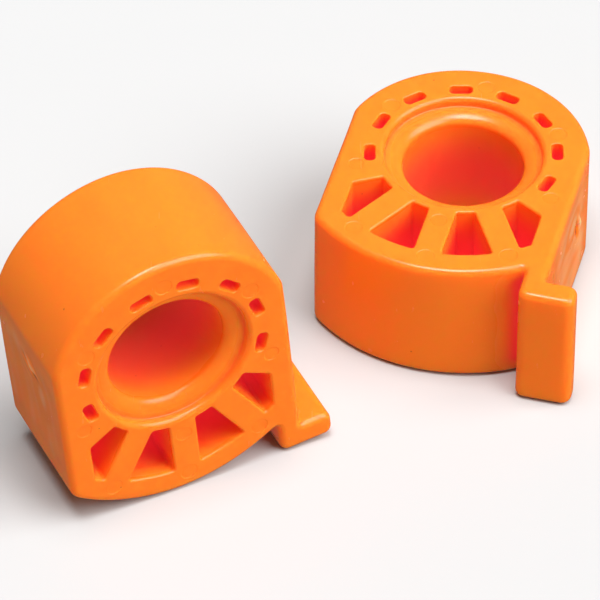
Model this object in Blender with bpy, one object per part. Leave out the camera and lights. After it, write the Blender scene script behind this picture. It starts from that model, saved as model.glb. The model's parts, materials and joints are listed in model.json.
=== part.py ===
"""Cam block pair: two identical one-piece plastic mouldings, each a bored block with a cored face and a stop foot.

One block stands on its far end and the other lies on its curved base, where its foot keeps it from
rolling. Metres, +Z up. The origin is on the floor, at the middle of the pair's bounding box.

A block's own axes: Z runs along the bore, from the closed far end at 0 to the cored face at LENGTH. X
crosses the two side flats and Y points away from the curved base. The bore's centre is X = Y = 0.

Blender 4.5: blender --background --python part.py
"""

import math

import bmesh
import bpy
from mathutils import Vector

# Bore and its rim
BORE_RADIUS = 0.0130
RIM_WIDTH = 0.0039  # from the bore's wall to the wall of the recess
RECESS_DEPTH = 0.0021  # at the recess's wall
RECESS_FILLET = 0.0012
LIP_DEPTH = 0.0020  # how far the recess's floor falls as it rounds over into the bore

# Cores that open at the cored face, in places that are equally spaced round the bore
CORE_STEPS = 12
SLOT_PLACES = range(8)  # the places that hold a small slot, the rest hold a window
FIRST_SLOT_ANGLE = -15.0  # degrees from X, the slot next above the right-hand window
RIM_LAND = 0.0006  # flat left between the recess and the cores
SLOT_LENGTH = 0.0052  # around the bore
SLOT_WIDTH = 0.0026  # along the radius
WINDOW_REACH = 0.0133  # along the radius
CORE_CORNER = 0.0008
CORE_FLOOR = 0.0054  # material left at the far end
RIB_THICKNESS = 0.0056

# Walls outside the cores, which set the outline
TOP_WALL = 0.0058  # from the slots to the round top
SLOT_SIDE_WALL = 0.0046  # from the slots' circle to a side flat
WINDOW_SIDE_WALL = 0.0053  # from a window to a side flat
BASE_WALL = 0.0056  # from a window to the curved base
LENGTH = 0.030  # along the bore
SHOULDER_RADIUS = 0.0052  # where the round top meets a side flat
HEEL_RADIUS = 0.0042  # where the curved base meets the left flat
END_FILLET = 0.0015  # round on the edges of both end faces

# Stop foot, at the lower right
FOOT_REACH = 0.0071  # past the right flat
FOOT_THICKNESS = 0.0058
FOOT_DROP = 0.0022  # below the lowest point of the curved base
FOOT_OVERLAP = 0.0049  # how far the foot runs in under the block, from the right flat
FOOT_CORNER = 0.0020

# What follows from them
RECESS_RADIUS = BORE_RADIUS + RIM_WIDTH
CORE_INNER_RADIUS = RECESS_RADIUS + RECESS_FILLET + RIM_LAND
SLOT_OUTER_RADIUS = CORE_INNER_RADIUS + SLOT_WIDTH
WINDOW_OUTER_RADIUS = CORE_INNER_RADIUS + WINDOW_REACH
TOP_RADIUS = SLOT_OUTER_RADIUS + TOP_WALL
HALF_WIDTH = SLOT_OUTER_RADIUS + SLOT_SIDE_WALL
BASE_RADIUS = WINDOW_OUTER_RADIUS + BASE_WALL

# Where the two blocks are
STANDING_PLACE = Vector((0.0348, 0.0247))
STANDING_TURN = -14.8  # degrees about the vertical
LYING_PLACE = Vector((-0.0255, -0.0466))  # below the bore's centre at the cored face
LYING_TURN = 26.3  # degrees about the vertical, from facing along -Y

ARC_TOLERANCE = 0.00004  # how far a chord may lie inside its arc
LIP_STEPS = 8
CUT_MARGIN = 0.002  # how far a cutter runs past the face that it opens
PLASTIC_COLOUR = (0.86, 0.27, 0.015, 1.0)


def polar(radius, degrees):
    """The point at a distance and an angle from the bore's axis."""
    return Vector((math.cos(math.radians(degrees)), math.sin(math.radians(degrees)))) * radius


def arc(centre, radius, start, end):
    """Points from start to end degrees, close enough that each chord stays within ARC_TOLERANCE."""
    widest = math.degrees(2 * math.acos(1 - ARC_TOLERANCE / radius))
    steps = max(2, math.ceil(abs(end - start) / widest))
    return [Vector(centre) + polar(radius, start + (end - start) * i / steps) for i in range(steps + 1)]


def corner_centre(big_radius, corner_radius):
    """Centre of a corner that touches a side flat and, from inside, an arc round the bore. Both parts positive."""
    across = HALF_WIDTH - corner_radius
    return Vector((across, math.sqrt((big_radius - corner_radius) ** 2 - across**2)))


def foot_corner_centre():
    """Centre of the round at the foot's inner lower corner, which the lying block rests on."""
    return Vector((HALF_WIDTH - FOOT_OVERLAP + FOOT_CORNER, -BASE_RADIUS - FOOT_DROP + FOOT_CORNER))


def block_outline():
    """The whole outline, anticlockwise from the right-hand shoulder. Straight sides join its arcs."""
    shoulder = corner_centre(TOP_RADIUS, SHOULDER_RADIUS)
    heel = corner_centre(BASE_RADIUS, HEEL_RADIUS)
    shoulder_angle = math.degrees(math.atan2(shoulder.y, shoulder.x))
    heel_angle = 180 + math.degrees(math.atan2(heel.y, heel.x))
    foot_side = HALF_WIDTH - FOOT_OVERLAP
    foot_angle = 360 - math.degrees(math.acos(foot_side / BASE_RADIUS))
    inner = foot_corner_centre()
    outer_x = HALF_WIDTH + FOOT_REACH - FOOT_CORNER
    foot_top = inner.y - FOOT_CORNER + FOOT_THICKNESS
    return (
        arc(shoulder, SHOULDER_RADIUS, 0, shoulder_angle)
        + arc((0, 0), TOP_RADIUS, shoulder_angle, 180 - shoulder_angle)[1:-1]
        + arc((-shoulder.x, shoulder.y), SHOULDER_RADIUS, 180 - shoulder_angle, 180)
        + arc(-heel, HEEL_RADIUS, 180, heel_angle)
        + arc((0, 0), BASE_RADIUS, heel_angle, foot_angle)[1:]
        + arc(inner, FOOT_CORNER, 180, 270)
        + arc((outer_x, inner.y), FOOT_CORNER, 270, 360)
        + arc((outer_x, foot_top - FOOT_CORNER), FOOT_CORNER, 0, 90)
        + [Vector((HALF_WIDTH, foot_top))]
    )


def slot_outline(angle):
    """A small rounded rectangle, its length square to the radius."""
    along = SLOT_WIDTH / 2 - CORE_CORNER
    across = SLOT_LENGTH / 2 - CORE_CORNER
    corners = ((along, across, 0), (-along, across, 90), (-along, -across, 180), (along, -across, 270))
    points = []
    for x, y, start in corners:
        points += arc((CORE_INNER_RADIUS + SLOT_WIDTH / 2 + x, y), CORE_CORNER, start, start + 90)
    out, round_bore = polar(1, angle), polar(1, angle + 90)
    return [out * point.x + round_bore * point.y for point in points]


def clipped_at_sides(points):
    """The part of an outline that leaves WINDOW_SIDE_WALL inside both side flats."""
    limit = HALF_WIDTH - WINDOW_SIDE_WALL
    for side in (1, -1):
        kept = []
        for here, after in zip(points, points[1:] + points[:1]):
            room_here, room_after = limit - side * here.x, limit - side * after.x
            if room_here >= 0:
                kept.append(here)
            if room_here * room_after < 0:
                kept.append(here.lerp(after, room_here / (room_here - room_after)))
        points = kept
    return points


def window_outline(angle):
    """Between two parallel-sided ribs, from the slots' inner edge to the wall of the base."""
    half_pitch = 180 / CORE_STEPS
    half_inner, half_outer = (
        half_pitch - math.degrees(math.asin(RIB_THICKNESS / 2 / radius))
        for radius in (CORE_INNER_RADIUS, WINDOW_OUTER_RADIUS)
    )
    sector = arc((0, 0), WINDOW_OUTER_RADIUS, angle - half_outer, angle + half_outer)
    sector += arc((0, 0), CORE_INNER_RADIUS, angle + half_inner, angle - half_inner)
    return clipped_at_sides(sector)


def new_object(name, bm):
    bmesh.ops.recalc_face_normals(bm, faces=bm.faces)
    mesh = bpy.data.meshes.new(name)
    bm.to_mesh(mesh)
    bm.free()
    made = bpy.data.objects.new(name, mesh)
    bpy.context.scene.collection.objects.link(made)
    return made


def add_prism(bm, outline, bottom, top):
    """Adds a closed prism and returns the edges that run along it."""
    face = bm.faces.new([bm.verts.new((point.x, point.y, bottom)) for point in outline])
    side = bmesh.ops.extrude_face_region(bm, geom=[face], use_keep_orig=True)["geom"]
    bmesh.ops.translate(bm, verts=[v for v in side if isinstance(v, bmesh.types.BMVert)], vec=(0, 0, top - bottom))
    return [edge for vert in face.verts for edge in vert.link_edges if abs(edge.verts[0].co.z - edge.verts[1].co.z) > 0]


def core_cutter():
    """One closed prism for each slot and window, with the windows' corners rounded."""
    bm = bmesh.new()
    bottom, top = CORE_FLOOR, LENGTH + CUT_MARGIN
    for place in range(CORE_STEPS):
        angle = FIRST_SLOT_ANGLE + place * 360 / CORE_STEPS
        if place in SLOT_PLACES:
            add_prism(bm, slot_outline(angle), bottom, top)
            continue
        edges = add_prism(bm, window_outline(angle), bottom, top)
        bm.normal_update()
        corners = [edge for edge in edges if edge.calc_face_angle() > math.radians(30)]
        bmesh.ops.bevel(bm, geom=corners, offset=CORE_CORNER, segments=3, profile=0.5, affect="EDGES")
    return new_object("core_cutter", bm)


def lip(steps):
    """The recess's floor as (radius, height), a quarter of an ellipse that ends along the bore's wall."""
    points = []
    for i in range(steps + 1):
        across, down = math.sin(math.pi / 2 * i / steps), 1 - math.cos(math.pi / 2 * i / steps)
        points.append(Vector((RECESS_RADIUS - RIM_WIDTH * across, LENGTH - RECESS_DEPTH - LIP_DEPTH * down)))
    return points


def bore_cutter():
    """Turned shape of the bore: a filleted recess whose floor rounds over and falls away into the bore."""
    fillet_centre = (RECESS_RADIUS + RECESS_FILLET, LENGTH - RECESS_FILLET)
    profile = [Vector((0, LENGTH + CUT_MARGIN)), Vector((fillet_centre[0], LENGTH + CUT_MARGIN))]
    profile += arc(fillet_centre, RECESS_FILLET, 90, 180)
    profile += lip(LIP_STEPS)
    profile += [Vector((BORE_RADIUS, -CUT_MARGIN)), Vector((0, -CUT_MARGIN))]
    turns = len(arc((0, 0), RECESS_RADIUS, 0, 360)) - 1
    bm = bmesh.new()
    line = [bm.verts.new((point.x, 0, point.y)) for point in profile]
    edges = [bm.edges.new(pair) for pair in zip(line, line[1:])]
    bmesh.ops.spin(
        bm, geom=line + edges, cent=(0, 0, 0), axis=(0, 0, 1), angle=math.tau, steps=turns, use_merge=True
    )
    bmesh.ops.remove_doubles(bm, verts=bm.verts, dist=1e-6)
    return new_object("bore_cutter", bm)


def hide_cutter(cutter):
    cutter.hide_render = True
    cutter.display_type = "WIRE"
    return cutter


def plastic():
    """Glossy orange moulding plastic."""
    material = bpy.data.materials.new("orange_plastic")
    material.use_nodes = True
    shader = material.node_tree.nodes["Principled BSDF"]
    shader.inputs["Base Color"].default_value = PLASTIC_COLOUR
    shader.inputs["Roughness"].default_value = 0.32
    shader.inputs["Metallic"].default_value = 0.0
    return material


def block(name, mesh, cutters):
    """One moulding: the outline's prism with rounded end edges, less the bore and the cores."""
    made = bpy.data.objects.new(name, mesh)
    bpy.context.scene.collection.objects.link(made)
    rounding = made.modifiers.new("end_fillets", "BEVEL")
    rounding.width = END_FILLET
    rounding.segments = 3
    rounding.limit_method = "ANGLE"
    rounding.angle_limit = math.radians(60)
    rounding.use_clamp_overlap = False
    for cutter in cutters:
        cut = made.modifiers.new(cutter.name, "BOOLEAN")
        cut.operation = "DIFFERENCE"
        cut.solver = "EXACT"
        cut.object = cutter
    return made


def resting_roll():
    """Turn about the bore, in degrees, that brings the foot's inner corner down to the floor beside the base."""
    corner = foot_corner_centre()
    drop = (FOOT_CORNER - BASE_RADIUS) / corner.length
    return math.degrees(math.asin(drop) - math.atan2(corner.y, corner.x))


def empty(name, location, rotation, parent):
    made = bpy.data.objects.new(name, None)
    made.location = location
    made.rotation_euler = [math.radians(degrees) for degrees in rotation]
    made.parent = parent
    bpy.context.scene.collection.objects.link(made)
    return made


def fix_to(piece, parent):
    piece.parent = parent
    return piece


def centre_pair(rig, blocks):
    """Moves the whole rig so that the origin is under the middle of the pair's bounding box, on the floor."""
    bpy.context.view_layer.update()
    graph = bpy.context.evaluated_depsgraph_get()
    points = []
    for piece in blocks:
        evaluated = piece.evaluated_get(graph)
        mesh = evaluated.to_mesh()
        points += [evaluated.matrix_world @ vertex.co for vertex in mesh.vertices]
        evaluated.to_mesh_clear()
    low, high = ([pick(point[axis] for point in points) for axis in range(3)] for pick in (min, max))
    rig.location = (-(low[0] + high[0]) / 2, -(low[1] + high[1]) / 2, -low[2])


def main():
    for old in list(bpy.data.objects):
        bpy.data.objects.remove(old, do_unlink=True)

    bm = bmesh.new()
    add_prism(bm, block_outline(), 0, LENGTH)
    shape = new_object("block_shape", bm)
    mesh = shape.data
    mesh.materials.append(plastic())
    bpy.data.objects.remove(shape, do_unlink=True)

    rig = empty("rig", (0, 0, 0), (0, 0, 0), None)
    standing_spot = empty("standing_spot", (*STANDING_PLACE, 0), (0, 0, STANDING_TURN), rig)
    facing = polar(1, LYING_TURN - 90)
    far_end = LYING_PLACE - facing * LENGTH
    lying_axis = empty("lying_axis", (*far_end, BASE_RADIUS), (90, 0, LYING_TURN), rig)

    blocks = []
    for name, parent, roll in (("standing_block", standing_spot, 0), ("lying_block", lying_axis, resting_roll())):
        cutters = [hide_cutter(cutter) for cutter in (bore_cutter(), core_cutter())]
        made = fix_to(block(name, mesh, cutters), parent)
        made.rotation_euler.z = math.radians(roll)
        for cutter in cutters:
            cutter.name = f"{name}_{cutter.name}"
            fix_to(cutter, made)
        made.data.shade_smooth()
        made.data.set_sharp_from_angle(angle=math.radians(35))
        blocks.append(made)
    centre_pair(rig, blocks)


main()
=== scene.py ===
# %% [markdown]
# # A pair of moulded cam blocks
# The real objects are two copies of one injection moulding in glossy orange plastic. Each is a thick
# block with a through bore, a recessed rim round the bore, twelve blind cores that keep its walls even,
# and a stop foot at one corner. One block stands on its far end, the other lies on its curved base.
#
# This notebook first loads the engineering model, which fixes every size and place. It then makes the
# fine surface of a moulding once, in the block's own axes and in millimetres, and puts a copy where each
# plain block stands.

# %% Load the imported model
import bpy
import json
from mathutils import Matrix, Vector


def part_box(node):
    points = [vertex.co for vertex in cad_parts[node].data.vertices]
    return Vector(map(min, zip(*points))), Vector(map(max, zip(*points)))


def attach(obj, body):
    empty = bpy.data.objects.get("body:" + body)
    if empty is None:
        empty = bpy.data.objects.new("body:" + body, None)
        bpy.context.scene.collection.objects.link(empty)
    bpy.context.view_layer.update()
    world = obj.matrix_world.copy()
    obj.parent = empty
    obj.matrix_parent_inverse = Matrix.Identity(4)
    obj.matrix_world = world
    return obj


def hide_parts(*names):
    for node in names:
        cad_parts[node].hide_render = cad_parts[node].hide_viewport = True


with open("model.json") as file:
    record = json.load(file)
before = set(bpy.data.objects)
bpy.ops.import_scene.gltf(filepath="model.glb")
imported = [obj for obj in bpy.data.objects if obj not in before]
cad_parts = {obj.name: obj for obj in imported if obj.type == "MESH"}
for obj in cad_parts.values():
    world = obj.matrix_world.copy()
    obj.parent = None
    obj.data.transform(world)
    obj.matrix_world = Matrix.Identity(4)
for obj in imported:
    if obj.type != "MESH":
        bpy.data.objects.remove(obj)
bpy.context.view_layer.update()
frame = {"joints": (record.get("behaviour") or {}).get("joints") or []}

# %% Tools
import json
import math

import bpy
import numpy as np
from mathutils import Matrix, Vector
from mathutils.geometry import delaunay_2d_cdt

# %% [markdown]
# ## The sizes of a block
# The engineering model owns the sizes, so they are only repeated here, in millimetres. A few driving
# sizes come first and the rest follow from them. The block's own axes are X across its side flats, Y away
# from its curved base and Z along the bore, from the far end at 0 to the cored face. The length isn't
# repeated: it is how high the standing block stands.

# %% Sizes, in millimetres
box_low, box_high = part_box("standing_block")
LENGTH = round((box_high.z - box_low.z) * 1000, 3)
BORE_RADIUS = 13.0
RIM_WIDTH = 3.9
RECESS_DEPTH = 2.1
RECESS_FILLET = 1.2
LIP_DEPTH = 2.0
CORE_STEPS = 12
FIRST_SLOT_ANGLE = -15.0
RIM_LAND = 0.6
SLOT_LENGTH, SLOT_WIDTH = 5.2, 2.6
WINDOW_REACH = 13.3
CORE_CORNER = 0.8
CORE_FLOOR = 5.4
RIB_THICKNESS = 5.6
TOP_WALL, SLOT_SIDE_WALL, WINDOW_SIDE_WALL, BASE_WALL = 5.8, 4.6, 5.3, 5.6
SHOULDER_RADIUS, HEEL_RADIUS, END_FILLET = 5.2, 4.2, 1.5
FOOT_REACH, FOOT_THICKNESS, FOOT_DROP, FOOT_OVERLAP, FOOT_CORNER = 7.1, 5.8, 2.2, 4.9, 2.0

RECESS_RADIUS = BORE_RADIUS + RIM_WIDTH
CORE_INNER = RECESS_RADIUS + RECESS_FILLET + RIM_LAND
SLOT_OUTER = CORE_INNER + SLOT_WIDTH
WINDOW_OUTER = CORE_INNER + WINDOW_REACH
TOP_RADIUS = SLOT_OUTER + TOP_WALL
HALF_WIDTH = SLOT_OUTER + SLOT_SIDE_WALL
BASE_RADIUS = WINDOW_OUTER + BASE_WALL
print("block", round(2 * HALF_WIDTH, 1), "wide,", LENGTH, "long, bore", 2 * BORE_RADIUS)

# %% [markdown]
# ## Outlines that know which way is out
# Every wall of a moulding is an outline carried along the bore while it grows or shrinks a little: at a
# fillet, at the lip of a core, at the draft of its walls. So an outline is kept as points and outward
# unit normals, and growing it is just points + normals * amount. Each round stretch is an arc given by
# the direction of its normal, so a hollow corner is simply an arc with a negative radius. Straight
# stretches fill the gaps between arcs that meet them smoothly.

# %% Outline helpers
def direction(degrees):
    """Unit vectors at angles from X, as an array with one row for each angle."""
    turn = np.radians(np.atleast_1d(degrees))
    return np.stack([np.cos(turn), np.sin(turn)], axis=1)


def arc(centre, radius, start, end, step):
    """Centre + radius * normal, for normals that turn from start to just before end degrees."""
    count = max(1, math.ceil(abs(radius * math.radians(end - start)) / step))
    normals = direction(start + (end - start) * np.arange(count) / count)
    return np.asarray(centre) + radius * normals, normals


def smooth_outline(arcs, step):
    """Arcs in order round a shape, joined by straight lines wherever one ends away from the next."""
    points, normals = [], []
    for here, after in zip(arcs, arcs[1:] + arcs[:1]):
        along, facing = arc(*here, step)
        last = np.asarray(here[0]) + here[1] * direction(here[3])[0]
        first = np.asarray(after[0]) + after[1] * direction(after[2])[0]
        count = math.ceil(np.linalg.norm(first - last) / step - 1e-6)
        share = np.arange(count)[:, None] / max(count, 1)
        points += [along, last + (first - last) * share]
        normals += [facing, np.repeat(direction(here[3]), count, axis=0)]
    return np.concatenate(points), np.concatenate(normals)


def rounded_outline(sides, radius, step):
    """Sides of a sharp shape, grown by a radius, with an arc round each of its corners.

    The sharp shape is drawn smaller by that radius, so the grown shape has the wanted size.
    """
    points, normals = [], []
    for (along, facing), (_, next_facing) in zip(sides, sides[1:] + sides[:1]):
        start, end = (math.degrees(math.atan2(n[1], n[0])) for n in (facing[-1], next_facing[0]))
        turned = arc(along[-1], radius, start, start + (end - start) % 360, step / 3)
        points += [along[:-1] + radius * facing[:-1], turned[0]]
        normals += [facing[:-1], turned[1]]
    return np.concatenate(points), np.concatenate(normals)


def straight_side(start, end, step):
    """A straight side from start to end, whose outward normal is on the right of the way along it."""
    start, end = np.asarray(start), np.asarray(end)
    length = np.linalg.norm(end - start)
    share = np.linspace(0, 1, max(2, math.ceil(length / step) + 1))[:, None]
    forward = (end - start) / length
    return start + (end - start) * share, np.tile([forward[1], -forward[0]], (len(share), 1))


def round_side(radius, start, end, outward, step):
    """A side on a circle round the bore, from start to end degrees, facing out from the bore or in."""
    count = max(2, math.ceil(abs(radius * math.radians(end - start)) / step) + 1)
    radial = direction(np.linspace(start, end, count))
    return radius * radial, radial if outward else -radial


# %% [markdown]
# ## The block's outline
# A round top and two side flats join through shoulder arcs. The base is one long arc round the bore, and
# its left end turns into the flat through a heel arc. The foot is a short bar under the right flat. Its
# two inner corners are hollow, with the small radius that a moulder leaves where a steel edge would
# otherwise wear.

# %% Block outline
FOOT_HOLLOW = 0.6
OUTLINE_STEP = 0.62


def corner_centre(big_radius, corner_radius):
    """Centre of a corner that touches a side flat and, from inside, an arc round the bore."""
    across = HALF_WIDTH - corner_radius
    return np.array([across, math.sqrt((big_radius - corner_radius) ** 2 - across**2)])


def block_outline():
    """Anticlockwise from the right-hand shoulder, as arcs whose normals turn from one to the next."""
    shoulder, heel = corner_centre(TOP_RADIUS, SHOULDER_RADIUS), corner_centre(BASE_RADIUS, HEEL_RADIUS)
    shoulder_angle = math.degrees(math.atan2(shoulder[1], shoulder[0]))
    heel_angle = 180 + math.degrees(math.atan2(heel[1], heel[0]))
    foot_side = HALF_WIDTH - FOOT_OVERLAP
    low = -BASE_RADIUS - FOOT_DROP + FOOT_CORNER
    high = low + FOOT_THICKNESS - 2 * FOOT_CORNER
    outer = HALF_WIDTH + FOOT_REACH - FOOT_CORNER
    notch_x = foot_side - FOOT_HOLLOW
    notch = np.array([notch_x, -math.sqrt((BASE_RADIUS + FOOT_HOLLOW) ** 2 - notch_x**2)])
    notch_angle = 360 + math.degrees(math.atan2(notch[1], notch[0]))
    armpit = (HALF_WIDTH + FOOT_HOLLOW, high + FOOT_CORNER + FOOT_HOLLOW)
    return smooth_outline(
        [
            (shoulder, SHOULDER_RADIUS, 0, shoulder_angle),
            ((0, 0), TOP_RADIUS, shoulder_angle, 180 - shoulder_angle),
            (shoulder * (-1, 1), SHOULDER_RADIUS, 180 - shoulder_angle, 180),
            (-heel, HEEL_RADIUS, 180, heel_angle),
            ((0, 0), BASE_RADIUS, heel_angle, notch_angle),
            (notch, -FOOT_HOLLOW, notch_angle, 180),
            ((foot_side + FOOT_CORNER, low), FOOT_CORNER, 180, 270),
            ((outer, low), FOOT_CORNER, 270, 360),
            ((outer, high), FOOT_CORNER, 0, 90),
            (armpit, -FOOT_HOLLOW, 90, 0),
        ],
        OUTLINE_STEP,
    )


# %% [markdown]
# ## The cores' outlines
# A slot is a small rounded rectangle set square to the radius. A window is what lies between two
# parallel-sided ribs, outside the rim and inside the base's wall, and the two outer windows are also cut
# off parallel to the side flats. Both are first drawn sharp and smaller by the corner radius, and then
# grown by it, which rounds every corner by the same exact amount.

# %% Core outlines
CORE_STEP = 0.55
SLOT_CORNER = 1.1


def slot_outline(angle):
    """A rectangle whose long sides run round the bore, turned to its angle."""
    along, across = SLOT_WIDTH / 2 - SLOT_CORNER, SLOT_LENGTH / 2 - SLOT_CORNER
    middle = CORE_INNER + SLOT_WIDTH / 2
    corners = np.array([[along, -across], [along, across], [-along, across], [-along, -across]])
    out, round_bore = direction(angle)[0], direction(angle + 90)[0]
    corners = (middle + corners[:, :1]) * out + corners[:, 1:] * round_bore
    sides = [straight_side(a, b, CORE_STEP) for a, b in zip(corners, np.roll(corners, -1, axis=0))]
    return rounded_outline(sides, SLOT_CORNER, CORE_STEP)


def window_outline(angle):
    """Between the ribs on both sides of an angle below the bore's right half. Each rib's edge keeps half
    a rib plus the corner radius from the ray that runs along the rib's middle."""
    inner, outer = CORE_INNER + CORE_CORNER, WINDOW_OUTER - CORE_CORNER
    limit = HALF_WIDTH - WINDOW_SIDE_WALL - CORE_CORNER
    gap = RIB_THICKNESS / 2 + CORE_CORNER
    low_rib, high_rib = angle - 180 / CORE_STEPS, angle + 180 / CORE_STEPS
    inner_turn, outer_turn = (math.degrees(math.asin(gap / radius)) for radius in (inner, outer))
    low_ray, low_normal = direction(low_rib)[0], direction(low_rib + 90)[0]
    high_ray, high_normal = direction(high_rib)[0], direction(high_rib + 90)[0]
    near, far = (math.sqrt(radius**2 - gap**2) for radius in (inner, outer))
    low_edge = [low_ray * reach + low_normal * gap for reach in (near, far)]
    high_edge = [high_ray * reach - high_normal * gap for reach in (far, near)]
    sides = [straight_side(*low_edge, CORE_STEP)]
    if high_edge[0][0] > limit:
        meets_arc = 360 - math.degrees(math.acos(limit / outer))
        reach = (limit + high_normal[0] * gap) / high_ray[0]
        high_edge[0] = high_ray * reach - high_normal * gap
        sides.append(round_side(outer, low_rib + outer_turn, meets_arc, True, CORE_STEP))
        sides.append(straight_side(sides[-1][0][-1], high_edge[0], CORE_STEP))
    else:
        sides.append(round_side(outer, low_rib + outer_turn, high_rib - outer_turn, True, CORE_STEP))
    sides.append(straight_side(*high_edge, CORE_STEP))
    sides.append(round_side(inner, high_rib - inner_turn, low_rib + inner_turn, False, CORE_STEP))
    return rounded_outline(sides, CORE_CORNER, CORE_STEP)


def mirrored(outline):
    """The outline's mirror image across the block's middle, still anticlockwise."""
    return tuple(values[::-1] * (-1, 1) for values in outline)


slots = [slot_outline(FIRST_SLOT_ANGLE + place * 360 / CORE_STEPS) for place in range(8)]
right_windows = [window_outline(angle) for angle in (285, 315)]
windows = right_windows + [mirrored(outline) for outline in right_windows]
print(len(slots), "slots,", len(windows), "windows")

# %% [markdown]
# ## A shell that gathers rings and flats
# The surface is made of two kinds of patch. Walls are grids: one closed ring of points for each step of a
# profile, joined by quads. The flat faces have an outer edge and many holes, so no grid fits them; a
# constrained Delaunay triangulation fills them instead, with scattered points inside so that they can
# carry the slight waves of a real moulding. The patches share their border points, so the shell is
# closed. Each point also gets a painted-shade value, from 0 on the outside to 1 deep in a core, which the
# plastic's colour reads as painted shade.

# %% Shell
class Shell:
    """Points, painted-shade values and faces of one closed surface."""

    def __init__(self):
        self.points, self.cavity_shade, self.quads, self.triangles = np.empty((0, 3)), np.empty(0), [], []

    def add(self, points, cavity_shade):
        """Adds points and returns their numbers."""
        numbers = len(self.points) + np.arange(len(points))
        self.points = np.concatenate([self.points, points])
        self.cavity_shade = np.concatenate([self.cavity_shade, np.broadcast_to(cavity_shade, len(points))])
        return numbers

    def wall(self, grid, cavity_shade):
        """Joins rings of points, of shape (rings, points, 3), and returns the first and last ring's numbers.

        A ring runs anticlockwise. Rings that go up face out, and rings that go down face into a hole. The
        painted-shade values are one for all, one for each point round a ring, or a column with one for each
        ring.
        """
        numbers = self.add(grid.reshape(-1, 3), np.broadcast_to(cavity_shade, grid.shape[:2]).ravel())
        numbers = numbers.reshape(grid.shape[:2])
        after = np.roll(numbers, -1, axis=1)
        corners = [numbers[:-1], after[:-1], after[1:], numbers[1:]]
        self.quads.append(np.stack(corners, axis=-1).reshape(-1, 4))
        return numbers[0], numbers[-1]

    def flat(self, loops, height, facing_up, spacing, cavity_shade=0.0):
        """Fills between closed loops of points at one height, with scattered points in the middle."""
        loops = [np.asarray(loop) for loop in loops]
        edge = np.concatenate(loops)
        first = np.concatenate([[0], np.cumsum([len(loop) for loop in loops])[:-1]])
        rings = [np.arange(len(loop)) for loop in loops]
        here = np.concatenate([start + ring for start, ring in zip(first, rings)])
        after = np.concatenate([start + np.roll(ring, -1) for start, ring in zip(first, rings)])
        flat = self.points[edge][:, :2]
        inner = scattered(flat, here, after, spacing)
        inner_points = np.column_stack([inner, np.full(len(inner), height)])
        numbers = np.concatenate([edge, self.add(inner_points, cavity_shade)])
        spots = np.concatenate([flat, inner])
        edges = np.stack([here, after], axis=1)
        found = delaunay_2d_cdt([Vector(spot) for spot in spots], edges.tolist(), [], 1, 1e-7)
        triangles = np.array([same[0] for same in found[3]])[np.array(found[2])]
        triangles = triangles[between_loops(spots[triangles].mean(axis=1), flat[here], flat[after])]
        corner = spots[triangles]
        turning_left = np.linalg.det(corner[:, 1:] - corner[:, :1]) > 0
        wrong = turning_left != facing_up
        triangles[wrong] = triangles[wrong][:, ::-1]
        self.triangles.append(numbers[triangles])


def between_loops(spots, start, end):
    """Which spots lie inside the outer loop and outside the holes, whose edges run from start to end.

    A spot is inside if a line from it to the right crosses the edges an odd number of times.
    """
    x, y = spots[:, :1], spots[:, 1:]
    crosses = (start[:, 1] > y) != (end[:, 1] > y)
    rise = np.where(end[:, 1] == start[:, 1], 1.0, end[:, 1] - start[:, 1])
    meets = start[:, 0] + (y - start[:, 1]) * (end[:, 0] - start[:, 0]) / rise
    return (crosses & (x < meets)).sum(axis=1) % 2 == 1


def scattered(flat, here, after, spacing):
    """Jittered points of a square grid that lie between the loops and clear of them."""
    low, high = flat.min(axis=0), flat.max(axis=0)
    steps = [np.arange(low[axis], high[axis], spacing) for axis in range(2)]
    spots = np.stack(np.meshgrid(*steps), axis=-1).reshape(-1, 2)
    spots += np.random.default_rng(7).uniform(-0.25, 0.25, spots.shape) * spacing
    clear = np.hypot(spots[:, :1] - flat[:, 0], spots[:, 1:] - flat[:, 1]).min(axis=1) > 0.45 * spacing
    return spots[clear & between_loops(spots, flat[here], flat[after])]


def carried(outline, profile):
    """Rings of an outline grown by each offset and set at each height of an (offset, height) profile."""
    points, normals = outline
    offset, height = profile[:, 0], profile[:, 1]
    flat = points + offset[:, None, None] * normals
    return np.concatenate([flat, np.broadcast_to(height[:, None, None], (*flat.shape[:2], 1))], axis=2)


def quarter(centre, radius, start, end, count):
    """Points of an arc in a profile, from start to end degrees, both included."""
    return np.asarray(centre) + radius * direction(np.linspace(start, end, count))


# %% [markdown]
# ## The skin
# The skin is the block's outline carried up the block. At both ends it pulls in round a quarter circle,
# which is the fillet that shows as a bright line on every edge. One more ring just inside each fillet
# keeps the shading of the flat faces clean. Rings crowd together at mid length and points crowd together
# on the flats beside the bore, because the gate scars are there.

# %% Skin
FILLET_STEPS = 9
SUPPORT = 0.25
GATE_Y, GATE_Z = -1.5, LENGTH / 2
GATE_REACH, GATE_PIECES = 3.2, 3
WALL_RINGS = 58
CROWDING = 0.62


def with_extra_points(outline, near, pieces):
    """The outline with each stretch that starts at a marked point cut into pieces."""
    points, normals = (np.concatenate([values, values[:1]]) for values in outline)
    numbers = np.arange(len(points))
    extra = numbers[:-1][near][:, None] + np.arange(1, pieces) / pieces
    wanted = np.sort(np.concatenate([numbers[:-1], extra.ravel()]))
    return tuple(
        np.stack([np.interp(wanted, numbers, values[:, axis]) for axis in range(2)], axis=1)
        for values in (points, normals)
    )


def skin_profile():
    """(offset, height) from the far face, out round a fillet, up the wall and in round a fillet."""
    low = quarter((-END_FILLET, END_FILLET), END_FILLET, -90, 0, FILLET_STEPS)
    share = np.linspace(0, 1, WALL_RINGS)
    crowded = share + CROWDING * np.sin(math.tau * share) / math.tau
    wall = np.column_stack([np.zeros(WALL_RINGS), END_FILLET + (LENGTH - 2 * END_FILLET) * crowded])
    high = quarter((-END_FILLET, LENGTH - END_FILLET), END_FILLET, 0, 90, FILLET_STEPS)
    inside = -END_FILLET - SUPPORT
    return np.concatenate([[(inside, 0)], low[:-1], wall, high[1:], [(inside, LENGTH)]])


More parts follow.
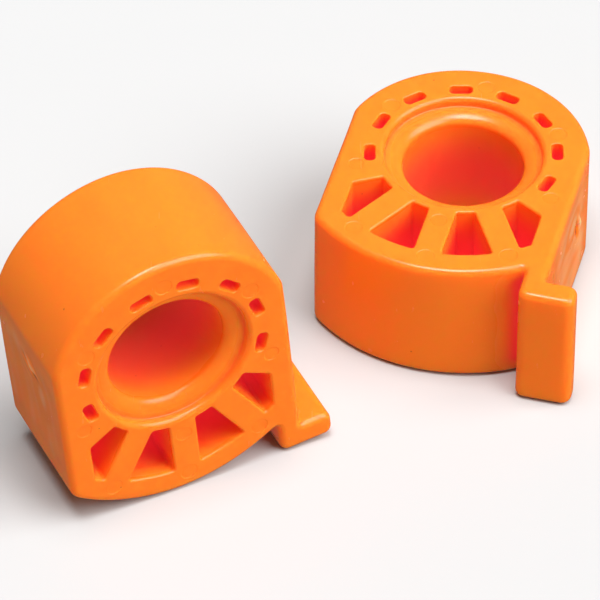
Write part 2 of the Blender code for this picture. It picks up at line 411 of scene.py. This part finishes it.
outline = block_outline()
on_flats = np.abs(outline[0][:, 0]) > HALF_WIDTH - 0.01
beside_gate = on_flats & (np.abs(outline[0][:, 1] - GATE_Y) < GATE_REACH)
outline = with_extra_points(outline, beside_gate, GATE_PIECES)
skin = carried(outline, skin_profile())
print("skin", skin.shape[0], "rings of", skin.shape[1], "points")

# %% [markdown]
# ## Gate scars and sink marks
# Molten plastic enters a mould through a small gate, and breaking the moulding off it leaves a torn
# scar. Here it is in the middle of each side flat: a short leaning split, a raised burr beside it and weak
# rings round it where the melt hesitated. The thick walls also shrink as they cool, which leaves long
# shallow waves in the flats. All of it is one height map over Y and Z that moves the flats' points in or
# out, so it is real shape and catches real reflections.
#
# A second map over the same two axes paints a sheen on the flats, a painted reflection: pale streaks,
# a pale swirl with a darker ring, a pale patch near the top and a paler right flat. It runs from 0 for
# plain plastic to 1 for the palest, below 0 for painted shade in the split and above 1 for a painted
# highlight on the burr.

# %% Relief on the flats
FLAT_TOP = corner_centre(TOP_RADIUS, SHOULDER_RADIUS)[1]
FLAT_FOOT = -corner_centre(BASE_RADIUS, HEEL_RADIUS)[1]
GATE_LEAN = 24
SPLIT_DEPTH, SPLIT_WIDTH = 1.4, 0.8
BURR_HEIGHT, BURR_WIDTH, BURR_PLACE = 0.45, 0.6, (0.6, 1.7)  # the place is along and across the split


def bell(distance, width):
    """1 at the middle, falling to nothing a few widths away."""
    return np.exp(-((distance / width) ** 2))


def gate_axes(y, z):
    """Distances along and across the split at the gate, which leans a little and has a wavy edge."""
    lean = math.radians(GATE_LEAN)
    along = (z - GATE_Z) * math.cos(lean) - (y - GATE_Y) * math.sin(lean)
    across = (y - GATE_Y) * math.cos(lean) + (z - GATE_Z) * math.sin(lean)
    return along, across + 0.12 * np.sin(2.1 * along)


def flat_relief(y, z):
    """Height over a side flat: shallow sink waves, a ringed dimple at the gate, a split and its burr."""
    from_gate = np.hypot(y - GATE_Y, z - GATE_Z)
    along, across = gate_axes(y, z)
    waves = 0.10 * np.sin(y / 3.1 + 1.3 * np.sin(z / 9)) + 0.06 * np.sin(y / 1.9 - z / 14 + 0.8)
    sink = -0.28 * bell(z - GATE_Z, 8.5)
    rings = 0.05 * np.cos(math.tau * from_gate / 2.3) * bell(from_gate, 4.2)
    split = -SPLIT_DEPTH * bell(across, SPLIT_WIDTH) * bell(along, 2.6) ** 2
    burr = BURR_HEIGHT * bell(across - BURR_PLACE[1], BURR_WIDTH) * bell(along - BURR_PLACE[0], 2.4)
    return waves + sink + rings + split + burr


def flat_push(grid):
    """How far the flats' points move out, fading out towards the fillets, shoulders and foot."""
    x, y, z = grid[..., 0], grid[..., 1], grid[..., 2]
    on_flat = np.clip((np.abs(x) - HALF_WIDTH + 0.05) / 0.05, 0, 1)
    from_ends = np.clip((LENGTH / 2 - END_FILLET - np.abs(z - LENGTH / 2)) / 4, 0, 1)
    from_corners = np.clip(np.minimum(FLAT_TOP - y, y - FLAT_FOOT) / 5, 0, 1)
    fade = on_flat * from_ends * from_corners
    return fade * fade * (3 - 2 * fade) * flat_relief(y, z)


def sheen_on_flats(points):
    """How much painted sheen the side flats get: streaks, and a pale swirl with a darker ring.

    The plastic's colour reads the split as painted shade, below 0, and the burr as a painted highlight,
    above 1. The right flat gets more painted reflection, so it is the paler one.
    """
    x, y, z = points.T
    on_flat = np.clip((np.abs(x) - HALF_WIDTH + 1.7) / 0.4, 0, 1) * (np.abs(x) < HALF_WIDTH + 1)
    from_ends = LENGTH / 2 - np.abs(z - LENGTH / 2)
    from_edges = np.minimum(from_ends / 3, np.minimum(FLAT_TOP - y, y - FLAT_FOOT) / 6)
    from_swirl = np.hypot((y - GATE_Y + 5) / 1.5, z - GATE_Z - 4.5)
    # Painted reflection: streaks, a swirl and a patch near the top of the flat.
    streaks = 0.12 * np.sin(z / 1.5 + 1.4 * np.sin(y / 6.5)) + 0.08 * np.sin(z / 0.7 + y / 5)
    swirl = 0.5 * bell(from_swirl, 2.0) - 0.4 * bell(from_swirl - 3.4, 1.0)
    upper = 0.4 * bell(z - 8, 5) * bell(y - 2.5, 3.5)
    along, across = gate_axes(y, z)
    # Painted highlight on the burr.
    burr = 2 * bell(across - BURR_PLACE[1], BURR_WIDTH) * bell(along - BURR_PLACE[0], 2.3)
    # Painted shade in the split.
    split = 2.4 * bell(across, SPLIT_WIDTH) * bell(along, 2.3)
    # Painted sheen on all of the flats, more of it on the right flat.
    pale = np.clip(0.16 + 0.3 * (x > 0) + streaks + swirl + upper, 0, 1)
    return on_flat * np.clip(from_edges, 0, 1) * np.clip(pale + burr - split, -1, 2)


push = flat_push(skin)
skin[..., 0] += np.sign(skin[..., 0]) * push
print("flats moved from", round(float(push.min()), 2), "to", round(float(push.max()), 2), "mm")

# %% [markdown]
# ## The bore
# The bore is a turned shape: one profile of (radius, height) swept round the axis. From the cored face it
# goes down a fillet to the wall of the recess, through a tight crease, over the recess's floor, which is a
# quarter of an ellipse, and down the bore's wall to a small fillet at the far end.

# %% Bore
BORE_POINTS = 200
LIP_RINGS, BORE_WALL_RINGS = 25, 28
CREASE = 0.3
FAR_FILLET = 0.6


def bore_profile():
    """(radius, height) from the cored face down to the far face.

    The recess's floor is (R - w sin t, h - d (1 - cos t)) for t from 0 to 90 degrees.
    """
    floor = LENGTH - RECESS_DEPTH
    rim_centre = (RECESS_RADIUS + RECESS_FILLET, LENGTH - RECESS_FILLET)
    rim = quarter(rim_centre, RECESS_FILLET, 90, 180, FILLET_STEPS)
    crease = quarter((RECESS_RADIUS - CREASE, floor + CREASE), CREASE, 0, -90, 5)
    turn = np.linspace(math.degrees(math.asin(CREASE / RIM_WIDTH)), 90, LIP_RINGS + 1)[1:]
    lip = (RECESS_RADIUS, floor - LIP_DEPTH) + (-RIM_WIDTH, LIP_DEPTH) * direction(90 - turn)
    wall_heights = np.linspace(floor - LIP_DEPTH, FAR_FILLET, BORE_WALL_RINGS + 2)[1:-1]
    bore_wall = np.column_stack([np.full(BORE_WALL_RINGS, BORE_RADIUS), wall_heights])
    far = quarter((BORE_RADIUS + FAR_FILLET, FAR_FILLET), FAR_FILLET, 180, 270, 6)
    first, last = (rim[0][0] + 0.05, LENGTH), (far[-1][0] + SUPPORT, 0)
    return np.concatenate([[first], rim, crease, lip, bore_wall, far, [last]])


def turned(profile, count):
    """Rings round the bore's axis at each radius and height of a profile."""
    ring = direction(np.arange(count) * 360 / count)
    return carried((np.zeros_like(ring), ring), profile)


bore = bore_profile()
print("bore", len(bore), "rings of", BORE_POINTS, "points")

# %% [markdown]
# ## Slots, windows and ejector marks
# A core is an outline carried down into the block: round a small lip at the mouth, down a wall with a
# little draft so that the steel core can pull out, and round a fillet to the floor. The ejector pins
# leave shallow discs on the cored face, on the thick places between the cores, because that is where a
# mould pushes.

# %% Cores and marks
SLOT_LIP, WINDOW_LIP = (0.22, 0.32), (0.34, 0.50)  # how far a lip spreads, and its radius
DRAFT = 0.10
FLOOR_FILLET = 0.35
CORE_WALL_RINGS, CORE_CROWDING = 24, 1.5
MARK_DEPTH, MARK_STEP = 0.13, 0.33
PIN_MARKS = (  # angle round the bore, distance from its axis, radius of the pin
    (90, 21.4, 1.9),
    (30, 21.2, 1.9),
    (150, 21.2, 1.9),
    (204, 23.2, 1.7),
    (336, 23.2, 1.7),
    (270, 21.9, 1.8),
    (240, 33.3, 1.9),
    (270, 33.3, 1.9),
    (300, 33.3, 1.9),
)


def core_profile(lip_out, lip_radius):
    """(offset, height) of a core: lip, drafted wall and floor fillet."""
    lip = quarter((lip_out, LENGTH - lip_radius), lip_radius, 90, 180, 7)
    wall_offset = lip_out - lip_radius
    foot_offset = wall_offset - DRAFT
    share = np.linspace(0, 1, CORE_WALL_RINGS + 2)[1:-1, None] ** CORE_CROWDING
    wall = lip[-1] + share * (np.array([foot_offset, CORE_FLOOR + FLOOR_FILLET]) - lip[-1])
    floor = quarter((foot_offset - FLOOR_FILLET, CORE_FLOOR + FLOOR_FILLET), FLOOR_FILLET, 0, -90, 5)
    return np.concatenate([[(lip_out + 0.03, LENGTH)], lip, wall, floor])


def mark_profile():
    """(offset, height) of an ejector mark: a low step whose two corners are slightly round."""
    edge = np.array([(0.16, 0), (0.06, 0), (0.0, -0.2), (-0.05, -0.8), (-0.12, -1), (-0.3, -1)])
    return np.column_stack([edge[:, 0], LENGTH + MARK_DEPTH * edge[:, 1]])


def mark_outline(angle, distance, radius):
    return arc(direction(angle)[0] * distance, radius, 0, 360, MARK_STEP)


# %% [markdown]
# ## Put the shell together
# Each wall adds its rings and hands back the two that border on the flat faces. The painted shade of a
# core grows with depth below its mouth, quickly at first, as light fades in a pit. The bore is open at
# both ends, so its painted shade grows from both of them, and a little of it collects in the crease and the
# notch.

# %% Moulding
# Painted shade: how deep it fades in, and how strong it gets in the bore, crease and notch.
SLOT_FADE_DEPTH, WINDOW_FADE_DEPTH = 1.8, 6.0
BORE_FADE_DEPTH, BORE_SHADE = 6.0, 0.85
CREASE_SHADE = 0.4
NOTCH_FADE, NOTCH_SHADE = 4.2, 0.95
SHALLOW_SPLIT = 0.6


def shade_below_top(height, top, fade_depth):
    """Painted shade by depth below the top of a pit, as one column."""
    return 1 - np.exp(-np.maximum(top - height, 0) / fade_depth)[:, None]


def shade_on_skin():
    """Painted shade on the skin: in the notch between base and foot, away from its ends, and in a split."""
    notch = (HALF_WIDTH - FOOT_OVERLAP, -math.sqrt(BASE_RADIUS**2 - (HALF_WIDTH - FOOT_OVERLAP) ** 2))
    from_ends = np.clip((LENGTH / 2 - np.abs(skin[..., 2] - LENGTH / 2)) / NOTCH_FADE, 0, 1)
    in_notch = NOTCH_SHADE * bell(np.hypot(*(outline[0] - notch).T), NOTCH_FADE) * from_ends
    return np.maximum(in_notch, np.clip(-push - SHALLOW_SPLIT, 0, SHALLOW_SPLIT))


def shade_in_bore():
    """Painted shade on each ring of the bore: most midway down its wall, and a little in the crease."""
    radius, height = bore[:, :1], bore[:, 1:]
    below_mouth = shade_below_top(bore[:, 1], LENGTH - RECESS_DEPTH - LIP_DEPTH, BORE_FADE_DEPTH)
    above_far_end = shade_below_top(-bore[:, 1], 0, BORE_FADE_DEPTH)
    on_wall = radius < BORE_RADIUS + FAR_FILLET
    in_crease = bell(np.hypot(radius - RECESS_RADIUS, height - LENGTH + RECESS_DEPTH), 1.0)
    return BORE_SHADE * below_mouth * above_far_end * on_wall + CREASE_SHADE * in_crease


def moulding():
    """The whole closed surface of a block in its own axes."""
    shell = Shell()
    far_edge, face_edge = shell.wall(skin, shade_on_skin())
    bore_top, bore_end = shell.wall(turned(bore, BORE_POINTS), shade_in_bore())
    face_holes = [bore_top]
    kinds = ((slots, SLOT_LIP, SLOT_FADE_DEPTH), (windows, WINDOW_LIP, WINDOW_FADE_DEPTH))
    for cores, lip, fade_depth in kinds:
        profile = core_profile(*lip)
        core_shade = shade_below_top(profile[:, 1], LENGTH - lip[1], fade_depth)
        for core in cores:
            mouth, floor = shell.wall(carried(core, profile), core_shade)
            face_holes.append(mouth)
            shell.flat([floor], CORE_FLOOR, True, 1.5, cavity_shade=1.0)
    step = mark_profile()
    for mark in PIN_MARKS:
        rim, disc = shell.wall(carried(mark_outline(*mark), step), 0.0)
        face_holes.append(rim)
        shell.flat([disc], LENGTH - MARK_DEPTH, True, 0.8)
    shell.flat([face_edge, *face_holes], LENGTH, True, 1.4)
    shell.flat([far_edge, bore_end], 0.0, False, 2.2)
    return shell


shell = moulding()
triangle_count = 2 * sum(map(len, shell.quads)) + sum(map(len, shell.triangles))
print("moulding", len(shell.points), "points,", triangle_count, "triangles")

# %% [markdown]
# ## Place the two blocks
# Cooling never leaves a moulding quite true, so the whole shell is bent by a few hundredths of a
# millimetre: a smooth push whose three parts are sums of long waves. The shell is then turned as each
# block lies. The lying block faces along the rocking joint's axis and is rolled until its foot's inner
# corner touches the floor beside the base's arc. Last, the copy moves to where the plain block's box is,
# so its place comes from the frame. The mesh keeps three values at each point for the plastic to read:
# the painted shade, the painted sheen and the point's place in the mould.

# %% Bend, turn and place
STANDING_TURN = -14.8


def bent(points):
    """Points pushed by slow waves, each axis by waves that run across the other two."""
    x, y, z = points.T
    push = [
        0.045 * np.sin(y / 7.3 + z / 11) + 0.02 * np.sin(y / 3.7 - z / 5 + 1),
        0.045 * np.sin(x / 8.1 - z / 9 + 2) + 0.02 * np.sin(x / 4.1 + z / 6),
        0.05 * np.sin(x / 6.7 + 0.6) * np.sin(y / 7.9 + 1.1) + 0.02 * np.sin((x - y) / 3.9),
    ]
    return points + np.stack(push, axis=1)


def resting_roll():
    """Turn about the bore that brings the foot's inner corner as low as the base's arc."""
    corner = Vector((HALF_WIDTH - FOOT_OVERLAP + FOOT_CORNER, -BASE_RADIUS - FOOT_DROP + FOOT_CORNER))
    return math.asin((FOOT_CORNER - BASE_RADIUS) / corner.length) - math.atan2(corner.y, corner.x)


def moulding_mesh(name, turn):
    """The shell as a mesh, turned and moved so that its box has the middle of the plain block's box."""
    points = bent(shell.points) @ np.array(turn).T
    low, high = (np.array(corner) * 1000 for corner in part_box(name))
    points += (low + high) / 2 - (points.min(axis=0) + points.max(axis=0)) / 2
    quads, triangles = np.concatenate(shell.quads), np.concatenate(shell.triangles)
    corners = np.concatenate([quads.ravel(), triangles.ravel()])
    sizes = np.concatenate([np.full(len(quads), 4), np.full(len(triangles), 3)])
    mesh = bpy.data.meshes.new(name + "_moulding")
    mesh.vertices.add(len(points))
    mesh.loops.add(len(corners))
    mesh.polygons.add(len(sizes))
    mesh.vertices.foreach_set("co", (points / 1000).astype(np.float32).ravel())
    mesh.loops.foreach_set("vertex_index", corners.astype(np.int32))
    mesh.polygons.foreach_set("loop_start", (np.cumsum(sizes) - sizes).astype(np.int32))
    mesh.update(calc_edges=True)
    # Two values that paint light: shade in the cavities, and sheen, shade and highlight on the side flats.
    for title, values in (("cavity_shade", shell.cavity_shade), ("painted_sheen", sheen_on_flats(shell.points))):
        attribute = mesh.attributes.new(title, "FLOAT", "POINT")
        attribute.data.foreach_set("value", values.astype(np.float32))
    in_mould = mesh.attributes.new("in_mould", "FLOAT_VECTOR", "POINT")
    in_mould.data.foreach_set("vector", shell.points.astype(np.float32).ravel())
    mesh.shade_smooth()
    print(name, "faces", len(mesh.polygons), "changed by validate:", mesh.validate())
    return mesh


rocking = Vector(frame["joints"][0]["axis"])
lying_turn = math.atan2(rocking.y, rocking.x) + math.pi / 2
turns = {
    "standing_block": Matrix.Rotation(math.radians(STANDING_TURN), 3, "Z"),
    "lying_block": Matrix.Rotation(lying_turn, 3, "Z")
    @ Matrix.Rotation(math.pi / 2, 3, "X")
    @ Matrix.Rotation(resting_roll(), 3, "Z"),
}
blocks = {}
for name, turn in turns.items():
    blocks[name] = bpy.data.objects.new(name + "_moulding", moulding_mesh(name, turn))
    bpy.context.scene.collection.objects.link(blocks[name])
    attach(blocks[name], name.removesuffix("_block"))
    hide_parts(name)

# %% [markdown]
# ## Shader maths as Python
# A material is a graph of nodes. Writing each Math node by hand hides the formula, so a small class wraps
# one output and turns +, -, * and / into Math nodes. Every other node comes from one method that sets
# the node's own settings first and then its sockets.

# %% Wires
class Wire:
    """One output of a node. Arithmetic on it adds Math nodes to the same material."""

    def __init__(self, socket):
        self.socket = socket

    def math(self, operation, *values):
        finish = Finish(self.socket.id_data)
        return finish.node("ShaderNodeMath", {"operation": operation}, dict(enumerate(values)))

    def __add__(self, other):
        return self.math("ADD", self, other)

    def __sub__(self, other):
        return self.math("SUBTRACT", self, other)

    def __rsub__(self, other):
        return self.math("SUBTRACT", other, self)

    def __mul__(self, other):
        return self.math("MULTIPLY", self, other)

    __radd__, __rmul__ = __add__, __mul__


class Finish:
    """The node tree of one material."""

    def __init__(self, tree):
        self.tree = tree

    def node(self, kind, settings=None, sockets=None, output=0):
        """Adds a node, sets its settings and then its sockets, and returns one of its outputs."""
        made = self.tree.nodes.new(kind)
        for name, value in (settings or {}).items():
            setattr(made, name, value)
        for name, value in (sockets or {}).items():
            if isinstance(value, Wire):
                self.tree.links.new(value.socket, made.inputs[name])
            else:
                made.inputs[name].default_value = value
        return Wire(made.outputs[output])

    def mix(self, share, first, second):
        """A colour from first at share 0 to second at share 1."""
        return self.node("ShaderNodeMix", {"data_type": "RGBA"}, {0: share, 6: first, 7: second}, output=2)

    def band(self, value, low, high):
        """0 below low, 1 above high and smooth between."""
        settings = {"interpolation_type": "SMOOTHSTEP"}
        return self.node("ShaderNodeMapRange", settings, {"Value": value, "From Min": low, "From Max": high})


# %% [markdown]
# ## Orange plastic
# The moulding is a glossy, slightly translucent orange. Light that goes through its walls comes out
# deeper and redder where they face each other; that is painted here as shade: the painted-shade value
# turns the colour from orange on the outside to red inside the cores and the bore, and adds a weak
# painted red glow that stands for the light passed through. The painted-sheen value paints a pale sheen
# on the flats, with painted shade in the split and a painted highlight on the burr. Melt flow leaves a
# faint mottling that is stretched along the block. The gloss is a little uneven, with a fine orange-peel
# bump, a few hairline scratches and tiny dark specks here and there.

# %% Orange plastic
ORANGE = (0.92, 0.212, 0.016, 1)
AMBER = (0.92, 0.237, 0.017, 1)
# Painted sheen on the side flats.
SHEEN_PALE = (0.90, 0.42, 0.17, 1)
# Painted highlight on the gate's burr.
BURR_HIGHLIGHT = (0.95, 0.66, 0.30, 1)
# Painted shade deep in the cores, bore, crease and notch, and a painted red glow there.
SHADE_RED = (0.80, 0.040, 0.022, 1)
GLOW = (0.27, 0.014, 0.020, 1)
SPECK = (0.16, 0.035, 0.006, 1)
# Painted shade in the gate's split.
SPLIT_SHADE = (0.22, 0.035, 0.006, 1)


def orange_plastic():
    material = bpy.data.materials.new("orange_plastic_moulded")
    material.use_nodes = True
    finish = Finish(material.node_tree)
    shader = material.node_tree.nodes["Principled BSDF"]
    place = finish.node("ShaderNodeTexCoord", output="Object")
    in_mould = finish.node("ShaderNodeAttribute", {"attribute_name": "in_mould"}, output="Vector")
    cavity_shade = finish.node("ShaderNodeAttribute", {"attribute_name": "cavity_shade"}, output="Fac")
    painted_sheen = finish.node("ShaderNodeAttribute", {"attribute_name": "painted_sheen"}, output="Fac")

    def noise(vector, scale, detail=2.0):
        return finish.node("ShaderNodeTexNoise", {}, {"Vector": vector, "Scale": scale, "Detail": detail})

    stretched = finish.node("ShaderNodeMapping", {}, {"Vector": in_mould, "Scale": (1.0, 1.0, 0.3)})
    flow = finish.band(noise(stretched, 0.09, 3.0), 0.36, 0.64)
    body = finish.mix(flow * 0.45, ORANGE, AMBER)
    # Painted sheen on the side flats.
    body = finish.mix(finish.band(painted_sheen, 0.0, 1.0) * 0.8, body, SHEEN_PALE)
    # Painted highlight on the gate's burr.
    body = finish.mix(finish.band(painted_sheen, 1.0, 2.0), body, BURR_HIGHLIGHT)
    # Painted shade in the gate's split.
    body = finish.mix(finish.band(painted_sheen, 0.0, -1.0), body, SPLIT_SHADE)
    grit = finish.node("ShaderNodeTexVoronoi", {}, {"Vector": place, "Scale": 420.0}, output="Distance")
    patch = finish.band(noise(place, 60.0), 0.60, 0.66)
    specks = (1 - finish.band(grit, 0.05, 0.12)) * patch
    body = finish.mix(specks * 0.5, body, SPECK)
    # Painted shade: red deep in the cores, bore, crease and notch, with a weak painted red glow.
    colour = finish.mix(finish.band(cavity_shade, 0.15, 0.90), body, SHADE_RED)
    glow = finish.mix(cavity_shade * cavity_shade, (0, 0, 0, 1), GLOW)

    path = {"Vector": place, "Rotation": (0.3, 0.2, 0.9), "Scale": (900.0, 60.0, 300.0)}
    scratches = finish.band(noise(finish.node("ShaderNodeMapping", {}, path), 1.0, 3.0), 0.68, 0.78)
    scratches = scratches * (1 - finish.band(cavity_shade, 0.0, 0.2))
    uneven = noise(place, 90.0, 3.0)
    roughness = 0.20 + uneven * 0.10 + scratches * 0.06 + cavity_shade * 0.30
    peel = noise(place, 1300.0, 2.0) * 0.5 + noise(place, 260.0, 2.0) * 1.0 - scratches * 0.25
    bump = finish.node("ShaderNodeBump", {}, {"Height": peel, "Strength": 0.05, "Distance": 0.0004})

    wires = {"Base Color": colour, "Roughness": roughness, "Normal": bump, "Emission Color": glow}
    for name, wire in wires.items():
        material.node_tree.links.new(wire.socket, shader.inputs[name])
    shader.inputs["Emission Strength"].default_value = 1.0
    material.cycles.emission_sampling = "NONE"
    shader.inputs["IOR"].default_value = 1.45
    shader.inputs["Specular IOR Level"].default_value = 0.45
    shader.inputs["Subsurface Weight"].default_value = 1.0
    shader.inputs["Subsurface Radius"].default_value = (1.0, 0.10, 0.05)
    shader.inputs["Subsurface Scale"].default_value = 0.0035
    return material


plastic = orange_plastic()
for block in blocks.values():
    block.data.materials.append(plastic)
print("plastic nodes", len(plastic.node_tree.nodes))

# %% [markdown]
# ## Floor
# A plain pale floor, a hair below the blocks so that nothing shimmers where they touch. It stays out of
# reflections, because so wide a pale sheet would grey every glossy side. It isn't part of the object.

# %% Floor
FLOOR_HALF, FLOOR_DROP = 6.0, 0.0002
corners = np.array([(-1, -1), (1, -1), (1, 1), (-1, 1)]) * FLOOR_HALF
floor_mesh = bpy.data.meshes.new("floor")
floor_mesh.from_pydata(np.column_stack([corners, np.full(4, -FLOOR_DROP)]).tolist(), [], [(0, 1, 2, 3)])
floor = bpy.data.objects.new("floor", floor_mesh)
bpy.context.scene.collection.objects.link(floor)
paint = bpy.data.materials.new("floor_paint")
paint.use_nodes = True
coat = paint.node_tree.nodes["Principled BSDF"].inputs
coat["Base Color"].default_value = (0.50, 0.50, 0.50, 1)
coat["Roughness"].default_value = 0.9
coat["Specular IOR Level"].default_value = 0.0
floor_mesh.materials.append(paint)
floor.visible_glossy = False

# %% [markdown]
# ## Light
# The studio is plain and soft. A broad overhead light brightens what faces up and draws the bright line
# along every filleted edge, one from the right opens what faces that way, and a pale surround and the
# floor fill the rest. The lights are suns with wide discs, so the floor is evenly lit from any side.

# %% Lights and world
def broad_sun(name, strength, disc, azimuth, elevation):
    """A sun of an angular width in degrees that shines from an azimuth (0 is +Y) and an elevation."""
    light = bpy.data.lights.new(name, "SUN")
    light.energy = strength
    light.angle = math.radians(disc)
    lamp = bpy.data.objects.new(name, light)
    a, e = math.radians(azimuth), math.radians(elevation)
    towards = Vector((math.sin(a) * math.cos(e), math.cos(a) * math.cos(e), math.sin(e)))
    lamp.rotation_euler = towards.to_track_quat("Z", "Y").to_euler()
    bpy.context.scene.collection.objects.link(lamp)


broad_sun("overhead_light", 3.0, 28, 200, 84)
broad_sun("right_light", 3.5, 50, 108, 46)
world = bpy.data.worlds.new("studio")
world.use_nodes = True
world.node_tree.nodes["Background"].inputs["Color"].default_value = (1.0, 1.0, 1.0, 1)
world.node_tree.nodes["Background"].inputs["Strength"].default_value = 0.12
bpy.context.scene.world = world
bpy.context.scene.view_settings.view_transform = "Standard"

# %% [markdown]
# ## Camera
# A long lens from above the front, far enough away that the blocks keep their proportions.

# %% Camera
LENS = 330.0
ELEVATION = 43.75
DISTANCE = 1.1662
AIM = Vector((0.0001, 0.00298, 0.010))
tilt = math.radians(ELEVATION)
camera_data = bpy.data.cameras.new("camera")
camera_data.lens = LENS
camera = bpy.data.objects.new("camera", camera_data)
camera.location = AIM + DISTANCE * Vector((0, -math.cos(tilt), math.sin(tilt)))
camera.rotation_euler = (math.pi / 2 - tilt, 0, 0)
bpy.context.scene.collection.objects.link(camera)
bpy.context.scene.camera = camera
